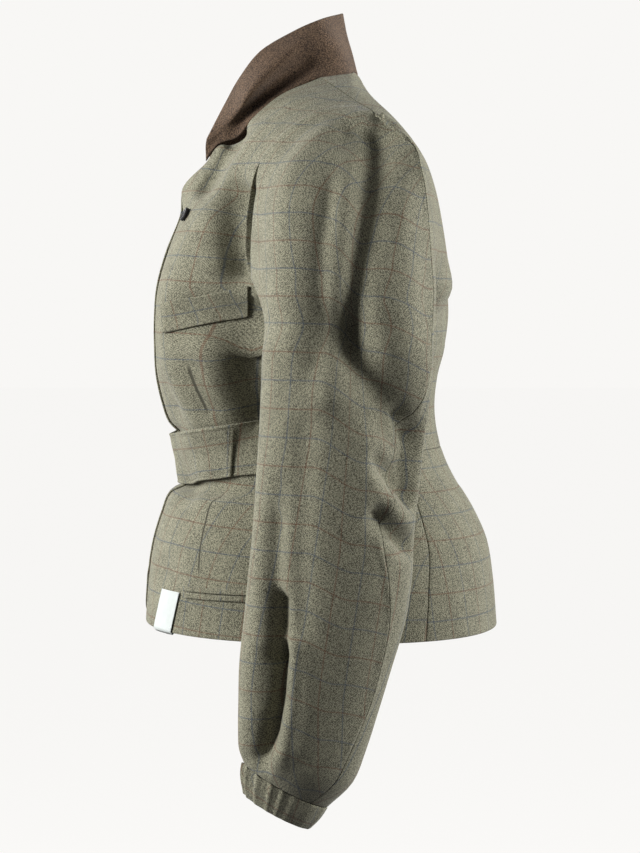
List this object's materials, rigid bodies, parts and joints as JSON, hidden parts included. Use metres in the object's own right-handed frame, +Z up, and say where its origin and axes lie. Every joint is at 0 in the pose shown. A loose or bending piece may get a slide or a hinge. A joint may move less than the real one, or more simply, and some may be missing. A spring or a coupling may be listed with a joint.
{
  "type": "belted blouson jacket",
  "caption": "Short belted wool jacket, open-necked with a standing collar, full sleeves cut in one with the fronts, gathered cuffs and a flared back below the waist seam.",
  "frame": {"origin": "on the middle plane, level with the two points where the neck seam meets the shoulder seams: where the wearer's shoulders carry it", "axes": "+Z up, -Y the front, +X the wearer's left"},
  "size_m": [0.5986, 0.3567, 0.7668],
  "materials": {
    "olive_wool": "matte olive grey twill wool with a fine windowpane check",
    "brown_wool": "matte brown brushed wool",
    "white_tape": "plain white woven tape",
    "dark_horn": "dark polished button"
  },
  "bodies": {
    "root": {"front_left": "olive_wool", "front_right": "olive_wool", "back_left": "olive_wool", "back_right": "olive_wool", "back_peplum": "olive_wool", "collar": "brown_wool", "cuff_left": "olive_wool", "cuff_right": "olive_wool", "belt_left": "olive_wool", "belt_right": "olive_wool", "chest_welt_left": "olive_wool", "chest_welt_right": "olive_wool", "hip_jet_upper_left": "olive_wool", "hip_jet_upper_right": "olive_wool", "hip_jet_lower_left": "olive_wool", "hip_jet_lower_right": "olive_wool", "hem_tag": "white_tape", "button": "dark_horn"}
  },
  "joints": []
}
